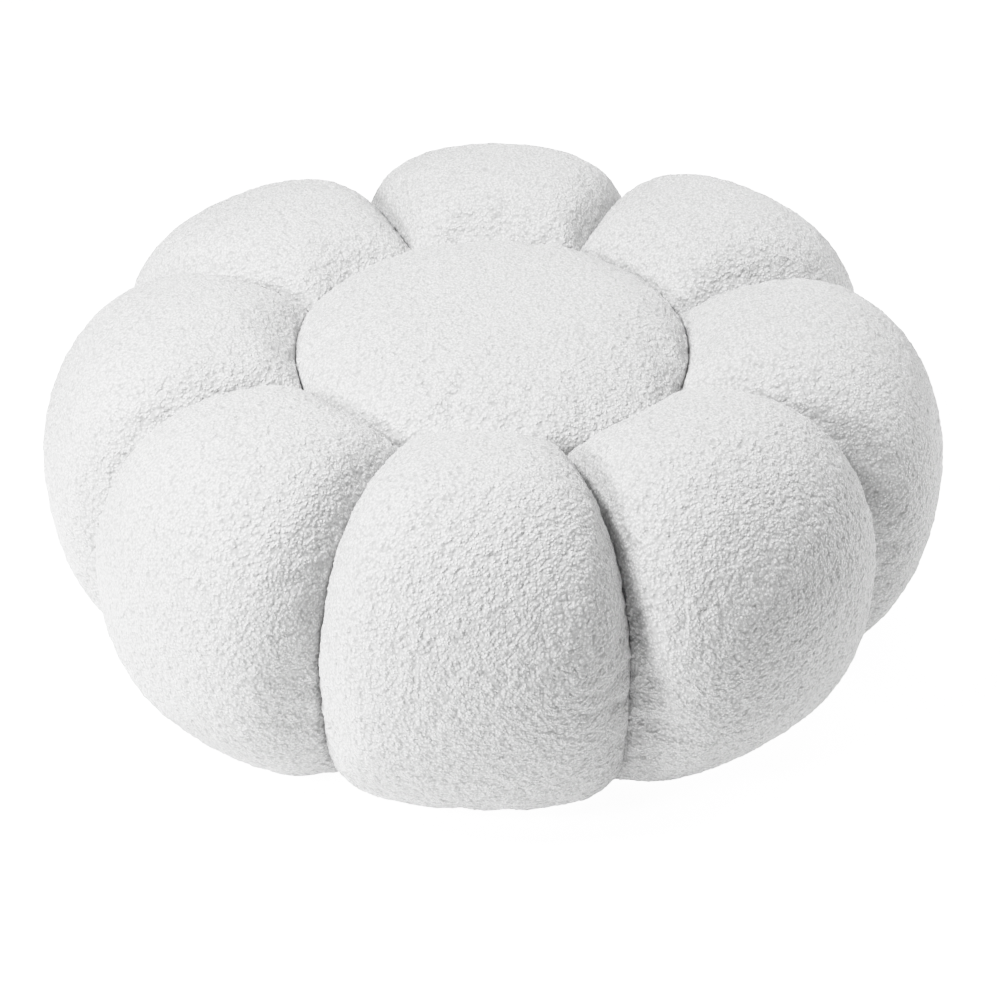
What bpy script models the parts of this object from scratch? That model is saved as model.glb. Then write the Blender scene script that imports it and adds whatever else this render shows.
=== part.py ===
"""Flower pouf: a round crown cushion with eight stuffed petals sewn tightly round it.

Metres, +Z up. The origin is on the floor, under the middle of the crown. The front petal faces -Y.
Every cushion is one filled solid that is cut from a fleecy cloth, and every one of them stands on
the floor with a flat underside. The petals share the seams between them, so two neighbours meet
face to face there, a hair's breadth apart.
"""
import math
from collections import namedtuple

import bpy

# Stitched seams: how far two sewn faces stand apart.
SEAM_GAP = 0.0003

# The crown: its upright side, where its top starts to round over, and how square that round is.
CROWN_RADIUS_AT_PETALS = 0.174
CROWN_RADIUS_AT_SEAMS = 0.176
CROWN_SHOULDER_Z = 0.260
CROWN_TOP_Z = 0.290
CROWN_SQUARENESS = 4.0

# A petal's upright section: it leaves the crown at the crease, rises to its crest, bulges out to
# its widest, and turns in to its foot on the floor.
Section = namedtuple("Section", "crease_z crest_r crest_z widest_r widest_z foot_r")
MIDDLE = Section(crease_z=0.247, crest_r=0.274, crest_z=0.301, widest_r=0.400, widest_z=0.157, foot_r=0.313)
SEAM = Section(crease_z=0.246, crest_r=0.255, crest_z=0.240, widest_r=0.335, widest_z=0.138, foot_r=0.296)

# Roundness of the three arcs of that section, and of the section's own swell between two seams:
# 2 is an ellipse, and more is squarer.
INNER_ARC_POWER = 2.17
OUTER_ARC_POWER = 2.00
LOWER_ARC_POWER = 2.29
SWELL_SIDE_POWER = 2.57
SWELL_TOP_POWER = 2.33

# Each petal's own stuffing, counter-clockwise from the front seen from above: how far its first
# seam is turned out of an even ring, how much farther it reaches, and how much higher it rises.
Petal = namedtuple("Petal", "name seam_turn_deg reach rise")
PETALS = (
    Petal("petal_front", 0.2, -0.013, 0.010),
    Petal("petal_front_right", -2.2, -0.010, -0.001),
    Petal("petal_right", -1.4, 0.004, -0.008),
    Petal("petal_back_right", -0.8, 0.015, 0.000),
    Petal("petal_back", -1.0, 0.000, -0.002),
    Petal("petal_back_left", 2.0, 0.025, -0.014),
    Petal("petal_left", 1.2, 0.003, -0.009),
    Petal("petal_front_left", 3.3, -0.001, -0.004),
)
PETAL_STEP_DEG = 360.0 / len(PETALS)
FRONT_DEG = -90.0

# Steps of the meshes.
WALL_STEPS = 2
INNER_ARC_STEPS = 8
OUTER_ARC_STEPS = 10
LOWER_ARC_STEPS = 7
PETAL_COLUMNS = 24
CROWN_COLUMNS_PER_PETAL = 8
CROWN_RINGS = 8

# The fleece: an unbleached white, quite dull.
FLEECE_COLOUR = (0.83, 0.83, 0.82, 1.0)
FLEECE_ROUGHNESS = 1.0
SHARP_EDGE_DEG = 50.0


def clear_scene():
    """Start from a scene with no objects."""
    for old in list(bpy.data.objects):
        bpy.data.objects.remove(old, do_unlink=True)


def fleece(name):
    """Material of one cushion's cover."""
    material = bpy.data.materials.new(name)
    material.use_nodes = True
    surface = material.node_tree.nodes["Principled BSDF"]
    surface.inputs["Base Color"].default_value = FLEECE_COLOUR
    surface.inputs["Roughness"].default_value = FLEECE_ROUGHNESS
    surface.inputs["Metallic"].default_value = 0.0
    return material


def add_cushion(name, points, faces):
    """One closed cushion as its own object, shaded smooth but for its sewn edges."""
    mesh = bpy.data.meshes.new(name)
    mesh.from_pydata(points, [], faces)
    mesh.validate()
    mesh.shade_smooth()
    mesh.set_sharp_from_angle(angle=math.radians(SHARP_EDGE_DEG))
    mesh.materials.append(fleece(name + "_fleece"))
    cushion = bpy.data.objects.new(name, mesh)
    bpy.context.collection.objects.link(cushion)
    return cushion


def quarter_arc(power, steps):
    """Sine-like and cosine-like steps of a superellipse's quarter, after its start."""
    for step in range(1, steps + 1):
        turn = 0.5 * math.pi * step / steps
        yield math.sin(turn) ** (2.0 / power), max(math.cos(turn), 0.0) ** (2.0 / power)


def section_outline(size, wall_r):
    """Closed outline (radius, height) of a petal cut upright: up the crown's side, over, and back."""
    outline = [(wall_r, size.crease_z * step / WALL_STEPS) for step in range(WALL_STEPS + 1)]
    for rise, back in quarter_arc(INNER_ARC_POWER, INNER_ARC_STEPS):
        radius = size.crest_r - (size.crest_r - wall_r) * back
        outline.append((radius, size.crease_z + (size.crest_z - size.crease_z) * rise))
    for out, drop in quarter_arc(OUTER_ARC_POWER, OUTER_ARC_STEPS):
        radius = size.crest_r + (size.widest_r - size.crest_r) * out
        outline.append((radius, size.widest_z + (size.crest_z - size.widest_z) * drop))
    for drop, inward in quarter_arc(LOWER_ARC_POWER, LOWER_ARC_STEPS):
        radius = size.foot_r + (size.widest_r - size.foot_r) * inward
        outline.append((radius, size.widest_z * (1.0 - drop)))
    return outline


def seam_angle(index):
    """Angle, in degrees, of the seam where petal number index begins."""
    turn = PETALS[index % len(PETALS)].seam_turn_deg
    return FRONT_DEG + PETAL_STEP_DEG * (index - 0.5) + turn


def crown_wall(across):
    """The crown's radius at a place across a petal, from -1 at one seam to 1 at the next."""
    blend = math.sin(0.5 * math.pi * across) ** 2
    return CROWN_RADIUS_AT_PETALS + (CROWN_RADIUS_AT_SEAMS - CROWN_RADIUS_AT_PETALS) * blend


def swell(column):
    """Place across a petal, -1 to 1, and how full it is there: 0 at the seams, 1 in the middle."""
    turn = math.pi * (column / PETAL_COLUMNS - 0.5)
    side = abs(math.sin(turn)) ** (2.0 / SWELL_SIDE_POWER)
    fullness = max(math.cos(turn), 0.0) ** (2.0 / SWELL_TOP_POWER)
    return math.copysign(side, turn), fullness


def lofted_faces(columns, rows):
    """Quads between closed outlines of equal length, and the two flat flanks that end them."""
    faces = []
    for column in range(columns):
        for row in range(rows):
            after = (row + 1) % rows
            here = column * rows
            beyond = here + rows
            faces.append((here + row, here + after, beyond + after, beyond + row))
    faces.append(tuple(reversed(range(rows))))
    faces.append(tuple(columns * rows + row for row in range(rows)))
    return faces


def add_petal(index, petal):
    """A stuffed petal: its section swells from the first seam to the middle and back to the next."""
    first = seam_angle(index)
    last = seam_angle(index + 1)
    middle = math.radians(0.5 * (first + last))
    half = math.radians(0.5 * (last - first))
    fullest = MIDDLE._replace(
        crest_z=MIDDLE.crest_z + petal.rise,
        widest_r=MIDDLE.widest_r + petal.reach,
        foot_r=MIDDLE.foot_r + 0.5 * petal.reach,
    )
    # Moving the petal out along its middle opens both seams, and its joint with the crown, alike.
    clear = 0.5 * SEAM_GAP / math.sin(half)
    points = []
    for column in range(PETAL_COLUMNS + 1):
        across, fullness = swell(column)
        size = Section(*(low + (high - low) * fullness for low, high in zip(SEAM, fullest)))
        angle = middle + half * across
        outline = section_outline(size, crown_wall(across))
        for radius, height in outline:
            x = radius * math.cos(angle) + clear * math.cos(middle)
            y = radius * math.sin(angle) + clear * math.sin(middle)
            points.append((x, y, height))
    return add_cushion(petal.name, points, lofted_faces(PETAL_COLUMNS, len(outline)))


def crown_rim():
    """Outline of the crown seen from above, as (angle, radius) once round."""
    rim = []
    for index in range(len(PETALS)):
        first = seam_angle(index)
        last = seam_angle(index + 1)
        for step in range(CROWN_COLUMNS_PER_PETAL):
            part = step / CROWN_COLUMNS_PER_PETAL
            rim.append((math.radians(first + (last - first) * part), crown_wall(2.0 * part - 1.0)))
    return rim


def add_crown():
    """The crown cushion: an upright side and a gently domed top with a round shoulder."""
    rim = crown_rim()
    rings = [(1.0, 0.0), (1.0, 0.5 * CROWN_SHOULDER_Z)]
    for step in range(CROWN_RINGS):
        share = math.cos(0.5 * math.pi * step / CROWN_RINGS)
        dome = math.sqrt(1.0 - share ** CROWN_SQUARENESS)
        rings.append((share, CROWN_SHOULDER_Z + (CROWN_TOP_Z - CROWN_SHOULDER_Z) * dome))
    points = []
    for share, height in rings:
        points += [(share * r * math.cos(angle), share * r * math.sin(angle), height) for angle, r in rim]
    points.append((0.0, 0.0, CROWN_TOP_Z))
    around = len(rim)
    faces = [tuple(reversed(range(around)))]
    for ring in range(len(rings) - 1):
        for place in range(around):
            beside = (place + 1) % around
            low = ring * around
            high = low + around
            faces.append((low + place, low + beside, high + beside, high + place))
    last_ring = (len(rings) - 1) * around
    for place in range(around):
        faces.append((last_ring + place, last_ring + (place + 1) % around, len(points) - 1))
    return add_cushion("crown", points, faces)


def main():
    clear_scene()
    add_crown()
    for index, petal in enumerate(PETALS):
        add_petal(index, petal)


main()
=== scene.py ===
"""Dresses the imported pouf: stuffed cushions in curly off-white fleece, on a pale studio floor.

Metres, +Z up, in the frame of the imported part. Each cushion is swollen with air pressure while its
sewn faces are held, and its fleece is then raised on what shows.
"""
import math
from collections import namedtuple

import bpy
import numpy as np
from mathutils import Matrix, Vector
from mathutils.bvhtree import BVHTree

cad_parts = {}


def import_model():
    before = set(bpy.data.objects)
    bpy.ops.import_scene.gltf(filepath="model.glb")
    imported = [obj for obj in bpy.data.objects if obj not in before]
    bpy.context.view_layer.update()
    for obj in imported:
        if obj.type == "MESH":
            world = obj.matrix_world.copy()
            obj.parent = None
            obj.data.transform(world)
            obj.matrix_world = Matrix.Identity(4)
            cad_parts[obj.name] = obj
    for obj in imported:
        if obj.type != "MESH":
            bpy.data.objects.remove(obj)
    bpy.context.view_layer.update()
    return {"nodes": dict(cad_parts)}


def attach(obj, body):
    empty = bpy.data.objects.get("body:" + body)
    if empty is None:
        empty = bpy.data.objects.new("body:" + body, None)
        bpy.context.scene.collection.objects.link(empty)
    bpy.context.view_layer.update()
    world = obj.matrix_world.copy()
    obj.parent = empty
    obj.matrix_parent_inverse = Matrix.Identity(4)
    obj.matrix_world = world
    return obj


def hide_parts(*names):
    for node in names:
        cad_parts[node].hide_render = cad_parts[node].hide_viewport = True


MM = 0.001
WHITE = (1.0, 1.0, 1.0, 1.0)
BODY = "root"
CROWN = "crown"
FRONT_DEG = -90.0

# The covers: the grid that they are sewn from, and how the stuffing swells them.
MERGED_WITHIN = 0.01 * MM
COVER_GRID = 6.8 * MM
EASING_SHARE = 0.5
COVER_EASING_ROUNDS = 4
SEWN_WITHIN = 4.0 * MM
RESTS_BELOW = 3.0 * MM
SLACK_DEPTH = 1.5 * MM
SLACK_EASING_ROUNDS = 6
STUFFING_PRESSURE = 20.0
STUFFING_FRAMES = 20
MOST_SWELL = 8.0 * MM
LEAST_SWELL = 0.001 * MM
STUFFED_EASING_ROUNDS = 4
CUT_SMOOTHNESS = 1.0

# Where two petals are this near each other, deep in a groove, they press together. From there to the
# farther distance they press less and less, and so they do from the lower height to the upper one.
PRESSED_WITHIN = 10.0 * MM
FREE_BEYOND = 28.0 * MM
PRESSED_BELOW = 140.0 * MM
FREE_ABOVE = 200.0 * MM
HALFWAY = 0.5

# How much of its length the cloth of each cover stretches, and the cuts that each of its visible
# squares gets, so that the fleece can be raised on it.
Cover = namedtuple("Cover", "node stretch cuts")
COVERS = (
    Cover(CROWN, 0.003, 3),
    Cover("petal_front", 0.025, 3),
    Cover("petal_front_right", 0.025, 3),
    Cover("petal_front_left", 0.025, 3),
    Cover("petal_right", 0.025, 2),
    Cover("petal_left", 0.025, 2),
    Cover("petal_back_right", 0.025, 2),
    Cover("petal_back", 0.025, 2),
    Cover("petal_back_left", 0.025, 2),
)

# Small creases where the cloth is pulled, each pressed in along a line of places on its cover.
Crease = namedtuple("Crease", "node depth across line")
CREASES = (
    Crease("petal_front_right", 1.2 * MM, 12.0 * MM, (
        (0.126, -0.329, 0.104),
        (0.145, -0.335, 0.091),
        (0.160, -0.334, 0.086),
        (0.178, -0.331, 0.083),
    )),
    Crease("petal_front", 1.2 * MM, 16.0 * MM, (
        (0.080, -0.370, 0.143),
        (0.100, -0.358, 0.138),
        (0.117, -0.337, 0.130),
    )),
)

# The fleece: clumps of nubs of curls of fibres, each with its width and depth. All but the fibres are
# raised in the mesh, from a root just below the cloth, and all but the clumps show in the bump. The
# nubs drift a little from an even spread.
CLUMP_ACROSS = 11.0 * MM
CLUMP_DEPTH = 2.0 * MM
NUB_ACROSS = 4.2 * MM
NUB_DEPTH = 1.0 * MM
NUB_DRIFT_ACROSS = 6.0 * MM
NUB_DRIFT = 0.5 * MM
CURL_ACROSS = 2.4 * MM
CURL_DEPTH = 1.0 * MM
FIBRE_ACROSS = 1.2 * MM
FIBRE_DEPTH = 0.2 * MM
PILE_ROOT = 1.8 * MM
NUB_BUMP_SHARE = 0.8
NOISE_MIDDLE = 0.5
CLOTH_PLACE = "cloth_place"

# Its colour is painted shade that follows its curls, and its nubs a little: darker down between them.
# The fuzz is its sheen.
TIP_COLOUR = (1.0, 1.0, 1.0, 1.0)
# The colour down in the pits between the curls is painted shade.
PIT_PAINTED_SHADE = (0.45, 0.45, 0.45, 1.0)
NUB_COLOUR_SHARE = 0.15
FUZZ = 0.8
FUZZ_ROUGHNESS = 0.4

# Where the camera stands, about a point inside the pouf, and how it frames the pouf.
AIM = Vector((0.0, 0.0, 0.130))
CAMERA_TURN_DEG = 1.5
CAMERA_RISE_DEG = 34.3
CAMERA_DISTANCE = 2.19
CAMERA_LENS_MM = 85.7
CAMERA_SENSOR_MM = 36.0
CAMERA_SHIFT = (0.0077, -0.0404)

# The floor glows, so that shadows on it stay faint, and shows the camera more of that glow than it
# lights the pouf with. The backdrop is white to the camera alone.
FLOOR_ACROSS = 12.0
FLOOR_GLOW = 0.67
FLOOR_SHOWN_GLOW = 1.4
FLOOR_COLOUR = (0.8, 0.8, 0.8, 1.0)
BACKDROP_STRENGTH = 3.0

# The picture's tones: up to its white level, light is drawn straight at first and then held back,
# as film does. A higher squareness keeps it straight for longer.
WHITE_LEVEL = 2.0
SHOULDER_SQUARENESS = 3.0
SHOULDER_STEPS = 8

# Soft lamps, placed about the same point as the camera: turn is 0 at the camera's side and
# grows to the right.
Lamp = namedtuple("Lamp", "name turn_deg rise_deg distance across watts")
LAMPS = (
    Lamp("key_high", -65.0, 55.0, 2.5, 0.5, 54.0),
    Lamp("key_low", -50.0, 30.0, 2.5, 0.5, 26.0),
    Lamp("back_right_high", 120.0, 68.0, 2.5, 1.6, 32.0),
    Lamp("back_right_low", 105.0, 20.0, 2.5, 1.6, 25.0),
)


# Numbers of the nodes' sockets, and of the view's curve that bends all three colours alike.
NOISE_COLOUR = 1
ATTRIBUTE_VECTOR = 1
MIX_SHARE = 0
MIX_FROM = 6
MIX_TO = 7
MIX_RESULT = 2
ALL_COLOURS = 3


class Wire:
    """A node socket that takes part in sums: each operator adds its Math or Vector Math node."""

    def __init__(self, net, socket):
        self.net = net
        self.socket = socket

    def sum_up(self, operation, left, right):
        pair = (left, right)
        vectors = any(isinstance(one, Wire) and one.socket.type in ("VECTOR", "RGBA") for one in pair)
        kind = "ShaderNodeVectorMath" if vectors else "ShaderNodeMath"
        return self.net.add(kind, {"operation": operation}, {0: left, 1: right})

    def __add__(self, other):
        return self.sum_up("ADD", self, other)

    def __radd__(self, other):
        return self.sum_up("ADD", other, self)

    def __sub__(self, other):
        return self.sum_up("SUBTRACT", self, other)

    def __rsub__(self, other):
        return self.sum_up("SUBTRACT", other, self)

    def __mul__(self, other):
        return self.sum_up("MULTIPLY", self, other)

    def __rmul__(self, other):
        return self.sum_up("MULTIPLY", other, self)


class Net:
    """A node tree, in a material or a modifier."""

    def __init__(self, tree):
        self.tree = tree

    def add(self, kind, settings=None, values=None, output=0):
        """A node of one kind: its settings are made first, then the values and links of its sockets."""
        node = self.tree.nodes.new(kind)
        for name, value in (settings or {}).items():
            setattr(node, name, value)
        for name, value in (values or {}).items():
            if isinstance(value, Wire):
                self.tree.links.new(value.socket, node.inputs[name])
            else:
                self.fill(node.inputs[name], value)
        return Wire(self, node.outputs[output]) if len(node.outputs) else node

    @staticmethod
    def fill(socket, value):
        if socket.type == "VECTOR" and isinstance(value, (int, float)):
            value = (value, value, value)
        socket.default_value = value


def deselect_all():
    bpy.ops.object.select_all(action="DESELECT")


def make_active(piece):
    deselect_all()
    piece.select_set(True)
    bpy.context.view_layer.objects.active = piece


def apply_modifier(piece, modifier):
    make_active(piece)
    bpy.ops.object.modifier_apply(modifier=modifier.name)


def vertex_places(piece):
    flat = np.zeros(3 * len(piece.data.vertices))
    piece.data.vertices.foreach_get("co", flat)
    return flat.reshape(-1, 3)


def set_vertex_places(piece, places):
    piece.data.vertices.foreach_set("co", places.ravel())
    piece.data.update()


def surface_tree(piece):
    mesh = piece.data
    places = [vertex.co.copy() for vertex in mesh.vertices]
    return BVHTree.FromPolygons(places, [tuple(face.vertices) for face in mesh.polygons])


def ease(piece, rounds, group_name=""):
    """Smooth a piece, or only what is in one of its vertex groups."""
    easing = piece.modifiers.new("easing", "SMOOTH")
    easing.factor = EASING_SHARE
    easing.iterations = rounds
    easing.vertex_group = group_name
    apply_modifier(piece, easing)


def blank_cover(node_name, node):
    """The cover's cloth before it is stuffed: the solid's own form in small even squares."""
    cover = bpy.data.objects.new(node_name + "_cover", node.data.copy())
    bpy.context.collection.objects.link(cover)
    cover.data.materials.clear()
    make_active(cover)
    bpy.ops.object.mode_set(mode="EDIT")
    bpy.ops.mesh.select_all(action="SELECT")
    bpy.ops.mesh.remove_doubles(threshold=MERGED_WITHIN)
    bpy.ops.object.mode_set(mode="OBJECT")
    squares = cover.modifiers.new("squares", "REMESH")
    squares.mode = "VOXEL"
    squares.voxel_size = COVER_GRID
    apply_modifier(cover, squares)
    ease(cover, COVER_EASING_ROUNDS)
    return cover


def sewn_vertices(cover, neighbours):
    """Vertices that lie against another cushion or on the floor, and so don't show."""
    sewn = set()
    for vertex in cover.data.vertices:
        place = vertex.co
        if place.z < RESTS_BELOW:
            sewn.add(vertex.index)
        elif any(tree.find_nearest(place, SEWN_WITHIN)[0] is not None for tree in neighbours):
            sewn.add(vertex.index)
    return sewn


def lay_on_seams(cover, solid, sewn):
    """Put the sewn faces back on the solid, which the easing has drawn them away from."""
    for index in sewn:
        vertex = cover.data.vertices[index]
        vertex.co = solid.find_nearest(vertex.co)[0]


def shown_group(cover, sewn):
    """A vertex group of all but the sewn faces."""
    shown = [vertex.index for vertex in cover.data.vertices if vertex.index not in sewn]
    group = cover.vertex_groups.new(name="shown")
    group.add(shown, 1.0, "REPLACE")
    return group.name


def ease_shown(cover, sewn, rounds):
    """Smooth what shows, up to the sewn faces."""
    ease(cover, rounds, shown_group(cover, sewn))
    cover.vertex_groups.clear()


def slacken_cover(cover, sewn):
    """Draw in what shows, a little less close to the seams, so that the stuffing can swell it."""
    slack = cover.modifiers.new("slack", "DISPLACE")
    slack.strength = -SLACK_DEPTH
    slack.mid_level = 0.0
    slack.vertex_group = shown_group(cover, sewn)
    apply_modifier(cover, slack)
    cover.vertex_groups.clear()
    ease_shown(cover, sewn, SLACK_EASING_ROUNDS)


def stuff_cover(cover, sewn, stretch):
    """Swell the stretchy cover with air pressure while its sewn faces are held."""
    group = cover.vertex_groups.new(name="sewn")
    group.add(sorted(sewn), 1.0, "REPLACE")
    before = vertex_places(cover)
    cloth = cover.modifiers.new("stuffing", "CLOTH")
    cloth.settings.use_pressure = True
    cloth.settings.uniform_pressure_force = STUFFING_PRESSURE
    cloth.settings.shrink_min = -stretch
    cloth.settings.effector_weights.gravity = 0.0
    cloth.settings.vertex_group_mass = group.name
    cloth.point_cache.frame_start = 1
    cloth.point_cache.frame_end = STUFFING_FRAMES
    for frame_number in range(1, STUFFING_FRAMES + 1):
        bpy.context.scene.frame_set(frame_number)
    apply_modifier(cover, cloth)
    moved = vertex_places(cover) - before
    length = np.linalg.norm(moved, axis=1, keepdims=True)
    held = np.minimum(1.0, MOST_SWELL / np.maximum(length, LEAST_SWELL))
    set_vertex_places(cover, before + moved * held)
    cover.vertex_groups.clear()
    ease_shown(cover, sewn, STUFFED_EASING_ROUNDS)


def fading(amount, full_until, none_from):
    """1 up to the first amount, and down to 0 at the second."""
    return min(1.0, max(0.0, (none_from - amount) / (none_from - full_until)))


def press_in_grooves(cover, other_petals):
    """Bring the cover halfway to the petals beside it in the grooves, where the two lie close."""
    for vertex in cover.data.vertices:
        near = [tree.find_nearest(vertex.co, FREE_BEYOND) for tree in other_petals]
        near = [(distance, spot) for spot, _, _, distance in near if spot is not None]
        if near:
            distance, spot = min(near, key=lambda pair: pair[0])
            close = fading(distance, PRESSED_WITHIN, FREE_BEYOND)
            low = fading(vertex.co.z, PRESSED_BELOW, FREE_ABOVE)
            vertex.co = vertex.co.lerp(spot, HALFWAY * close * low)


def refine_shown(cover, sewn, cuts):
    """Cut the squares that show into finer ones, which the fleece needs."""
    mesh = cover.data
    make_active(cover)
    bpy.ops.object.mode_set(mode="EDIT")
    bpy.ops.mesh.select_mode(type="FACE")
    bpy.ops.mesh.select_all(action="DESELECT")
    bpy.ops.object.mode_set(mode="OBJECT")
    for face in mesh.polygons:
        face.select = not sewn.issuperset(face.vertices)
    bpy.ops.object.mode_set(mode="EDIT")
    bpy.ops.mesh.subdivide(number_cuts=cuts, smoothness=CUT_SMOOTHNESS)
    bpy.ops.object.mode_set(mode="OBJECT")


def distance_to_line(places, line):
    """How far each place is from the nearest stretch of a line of points."""
    nearest = np.full(len(places), np.inf)
    for start, end in zip(np.array(line), np.array(line)[1:]):
        along = end - start
        share = np.clip((places - start) @ along / (along @ along), 0.0, 1.0)
        away = np.linalg.norm(places - start - share[:, None] * along, axis=1)
        nearest = np.minimum(nearest, away)
    return nearest


def press_creases(cover, node_name):
    """Soft troughs in the cloth, deepest along their lines."""
    places = vertex_places(cover)
    normals = np.zeros(places.size)
    cover.data.vertices.foreach_get("normal", normals)
    normals = normals.reshape(-1, 3)
    for crease in CREASES:
        if crease.node == node_name:
            away = distance_to_line(places, crease.line) / (0.5 * crease.across)
            trough = crease.depth * np.clip(1.0 - away * away, 0.0, 1.0) ** 2
            places -= normals * trough[:, None]
    set_vertex_places(cover, places)


def nubs_and_curls(net, place):
    """How full the fleece's nubs are at a place, and its curls: 0 between them and 1 on their tops."""
    drift = net.add(
        "ShaderNodeTexNoise", {"noise_dimensions": "3D"},
        {"Vector": place, "Scale": 1.0 / NUB_DRIFT_ACROSS, "Detail": 0.0}, output=NOISE_COLOUR)
    wandering = place + (drift - NOISE_MIDDLE) * (2.0 * NUB_DRIFT)
    from_nub = net.add("ShaderNodeTexVoronoi", {}, {"Vector": wandering, "Scale": 1.0 / NUB_ACROSS})
    from_curl = net.add("ShaderNodeTexVoronoi", {}, {"Vector": wandering, "Scale": 1.0 / CURL_ACROSS})
    curl = 1.0 - from_curl
    return 1.0 - from_nub * from_nub, curl * curl


def pile_modifier():
    """Geometry nodes that note each place on the bare cloth, and raise the fleece from it."""
    tree = bpy.data.node_groups.new("raised_pile", "GeometryNodeTree")
    tree.interface.new_socket("Geometry", in_out="INPUT", socket_type="NodeSocketGeometry")
    tree.interface.new_socket("Geometry", in_out="OUTPUT", socket_type="NodeSocketGeometry")
    net = Net(tree)
    cloth = net.add("NodeGroupInput")
    place = net.add("GeometryNodeInputPosition")
    normal = net.add("GeometryNodeInputNormal")
    nub, curl = nubs_and_curls(net, place)
    clump = net.add(
        "ShaderNodeTexNoise", {}, {"Vector": place, "Scale": 1.0 / CLUMP_ACROSS, "Detail": 0.0})
    noted = net.add(
        "GeometryNodeStoreNamedAttribute", {"data_type": "FLOAT_VECTOR", "domain": "POINT"},
        {"Geometry": cloth, "Name": CLOTH_PLACE, "Value": place})
    raised_by = clump * CLUMP_DEPTH + nub * NUB_DEPTH + curl * CURL_DEPTH - PILE_ROOT
    offset = net.add("ShaderNodeVectorMath", {"operation": "SCALE"}, {0: normal, "Scale": raised_by})
    raised = net.add("GeometryNodeSetPosition", {}, {"Geometry": noted, "Offset": offset})
    net.add("NodeGroupOutput", {}, {"Geometry": raised})
    return tree


def raise_pile(cover, tree):
    pile = cover.modifiers.new("pile", "NODES")
    pile.node_group = tree
    apply_modifier(cover, pile)


def fleece_material():
    """Off-white curly fleece: soft and dull, with painted shade that darkens it down between its curls.
    """
    material = bpy.data.materials.new("curly_fleece")
    material.use_nodes = True
    material.node_tree.nodes.clear()
    net = Net(material.node_tree)
    place = net.add(
        "ShaderNodeAttribute", {"attribute_name": CLOTH_PLACE}, output=ATTRIBUTE_VECTOR)
    nub, curl = nubs_and_curls(net, place)
    fibre = net.add(
        "ShaderNodeTexNoise", {}, {"Vector": place, "Scale": 1.0 / FIBRE_ACROSS, "Detail": 0.0})
    height = nub * (NUB_DEPTH * NUB_BUMP_SHARE) + curl * CURL_DEPTH + fibre * FIBRE_DEPTH
    relief = net.add("ShaderNodeBump", {}, {"Height": height, "Distance": 1.0, "Strength": 1.0})
    # Painted shade: the colour goes from white on the tops of the curls and nubs to dark in the pits
    # between them.
    unshaded_share = nub * NUB_COLOUR_SHARE + curl * (1.0 - NUB_COLOUR_SHARE)
    colour = net.add(
        "ShaderNodeMix", {"data_type": "RGBA"},
        {MIX_SHARE: unshaded_share, MIX_FROM: PIT_PAINTED_SHADE, MIX_TO: TIP_COLOUR}, output=MIX_RESULT)
    surface = net.add(
        "ShaderNodeBsdfPrincipled", {},
        {"Base Color": colour, "Roughness": 1.0, "Specular IOR Level": 0.0,
         "Sheen Weight": FUZZ, "Sheen Roughness": FUZZ_ROUGHNESS, "Normal": relief})
    net.add("ShaderNodeOutputMaterial", {}, {"Surface": surface})
    return material


def floor_material():
    """White studio floor, which glows."""
    material = bpy.data.materials.new("white_floor")
    material.use_nodes = True
    material.node_tree.nodes.clear()
    net = Net(material.node_tree)
    seen = net.add("ShaderNodeLightPath")
    glow = seen * (FLOOR_SHOWN_GLOW - FLOOR_GLOW) + FLOOR_GLOW
    surface = net.add(
        "ShaderNodeBsdfPrincipled", {},
        {"Base Color": FLOOR_COLOUR, "Roughness": 1.0, "Specular IOR Level": 0.0,
         "Emission Color": WHITE, "Emission Strength": glow})
    net.add("ShaderNodeOutputMaterial", {}, {"Surface": surface})
    return material


def dress_cushion(cover_plan, frame, trees, pile, fleece):
    """One cushion's cover, sewn from its solid, stuffed, creased and given its fleece."""
    node = frame["nodes"][cover_plan.node]
    cover = blank_cover(cover_plan.node, node)
    neighbours = [tree for name, tree in trees.items() if name != cover_plan.node]
    other_petals = [tree for name, tree in trees.items() if name not in (CROWN, cover_plan.node)]
    sewn = sewn_vertices(cover, neighbours)
    lay_on_seams(cover, trees[cover_plan.node], sewn)
    slacken_cover(cover, sewn)
    stuff_cover(cover, sewn, cover_plan.stretch)
    if cover_plan.node != CROWN:
        press_in_grooves(cover, other_petals)
    refine_shown(cover, sewn, cover_plan.cuts)
    press_creases(cover, cover_plan.node)
    raise_pile(cover, pile)
    cover.data.materials.append(fleece)
    cover.data.shade_smooth()
    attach(cover, BODY)
    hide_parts(cover_plan.node)


def around(turn_deg, rise_deg, distance):
    """A place about the aim point: turn 0 is the camera's side, and grows to the right."""
    turn = math.radians(CAMERA_TURN_DEG + turn_deg + FRONT_DEG)
    rise = math.radians(rise_deg)
    level = math.cos(rise)
    return AIM + distance * Vector((level * math.cos(turn), level * math.sin(turn), math.sin(rise)))


def look_from(place):
    """Rotation that looks from a place to the aim point."""
    return (AIM - place).to_track_quat("-Z", "Y").to_euler()


def add_camera():
    data = bpy.data.cameras.new("camera")
    data.lens = CAMERA_LENS_MM
    data.sensor_width = CAMERA_SENSOR_MM
    data.shift_x, data.shift_y = CAMERA_SHIFT
    camera = bpy.data.objects.new("camera", data)
    bpy.context.collection.objects.link(camera)
    camera.location = around(0.0, CAMERA_RISE_DEG, CAMERA_DISTANCE)
    camera.rotation_euler = look_from(camera.location)
    bpy.context.scene.camera = camera


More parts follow.
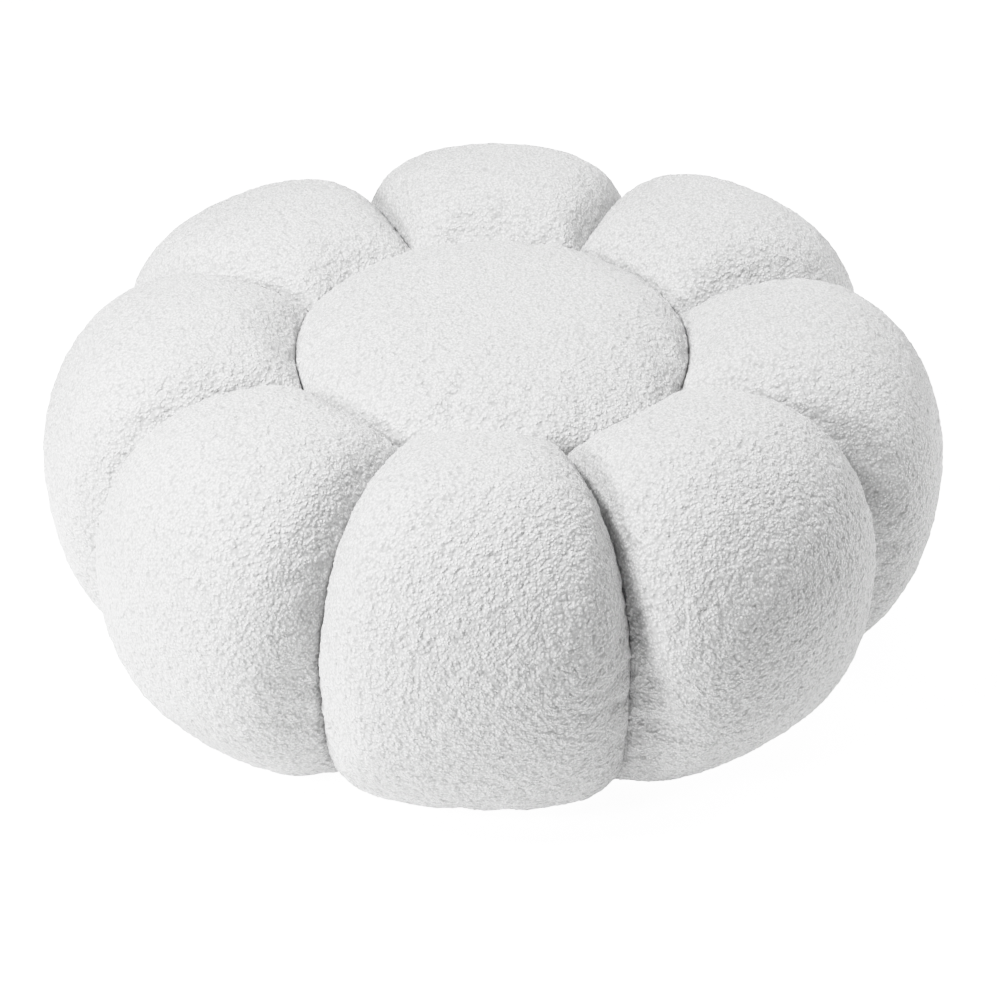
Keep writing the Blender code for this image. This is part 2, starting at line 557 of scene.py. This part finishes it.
def add_lamp(lamp):
    data = bpy.data.lights.new(lamp.name, "AREA")
    data.shape = "DISK"
    data.size = lamp.across
    data.energy = lamp.watts
    light = bpy.data.objects.new(lamp.name, data)
    bpy.context.collection.objects.link(light)
    light.location = around(lamp.turn_deg, lamp.rise_deg, lamp.distance)
    light.rotation_euler = look_from(light.location)


def add_backdrop():
    """White beyond the floor, which lights nothing: the lamps and the floor do that."""
    world = bpy.data.worlds.new("studio")
    bpy.context.scene.world = world
    world.use_nodes = True
    world.node_tree.nodes.clear()
    net = Net(world.node_tree)
    seen = net.add("ShaderNodeLightPath")
    white = net.add("ShaderNodeBackground", {}, {"Color": WHITE, "Strength": seen * BACKDROP_STRENGTH})
    net.add("ShaderNodeOutputWorld", {}, {"Surface": white})


def add_floor():
    deselect_all()
    bpy.ops.mesh.primitive_plane_add(size=FLOOR_ACROSS)
    floor = bpy.context.object
    floor.name = "floor"
    floor.data.materials.append(floor_material())


def held_back(light):
    """How bright a light is drawn: as it is while it is faint, and never past 1."""
    return light / (1.0 + light ** SHOULDER_SQUARENESS) ** (1.0 / SHOULDER_SQUARENESS)


def set_tones():
    """Give the picture a soft shoulder, so that the lit fleece keeps its detail."""
    view = bpy.context.scene.view_settings
    view.view_transform = "Standard"
    view.use_curve_mapping = True
    view.curve_mapping.white_level = (WHITE_LEVEL, WHITE_LEVEL, WHITE_LEVEL)
    curve = view.curve_mapping.curves[ALL_COLOURS]
    for step in range(1, SHOULDER_STEPS):
        share = step / SHOULDER_STEPS
        curve.points.new(share, held_back(share * WHITE_LEVEL) / held_back(WHITE_LEVEL))
    view.curve_mapping.update()


def main():
    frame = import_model()
    deselect_all()
    add_camera()
    add_backdrop()
    add_floor()
    for lamp in LAMPS:
        add_lamp(lamp)
    set_tones()
    trees = {name: surface_tree(node) for name, node in frame["nodes"].items()}
    pile = pile_modifier()
    fleece = fleece_material()
    for cover_plan in COVERS:
        dress_cushion(cover_plan, frame, trees, pile, fleece)


main()
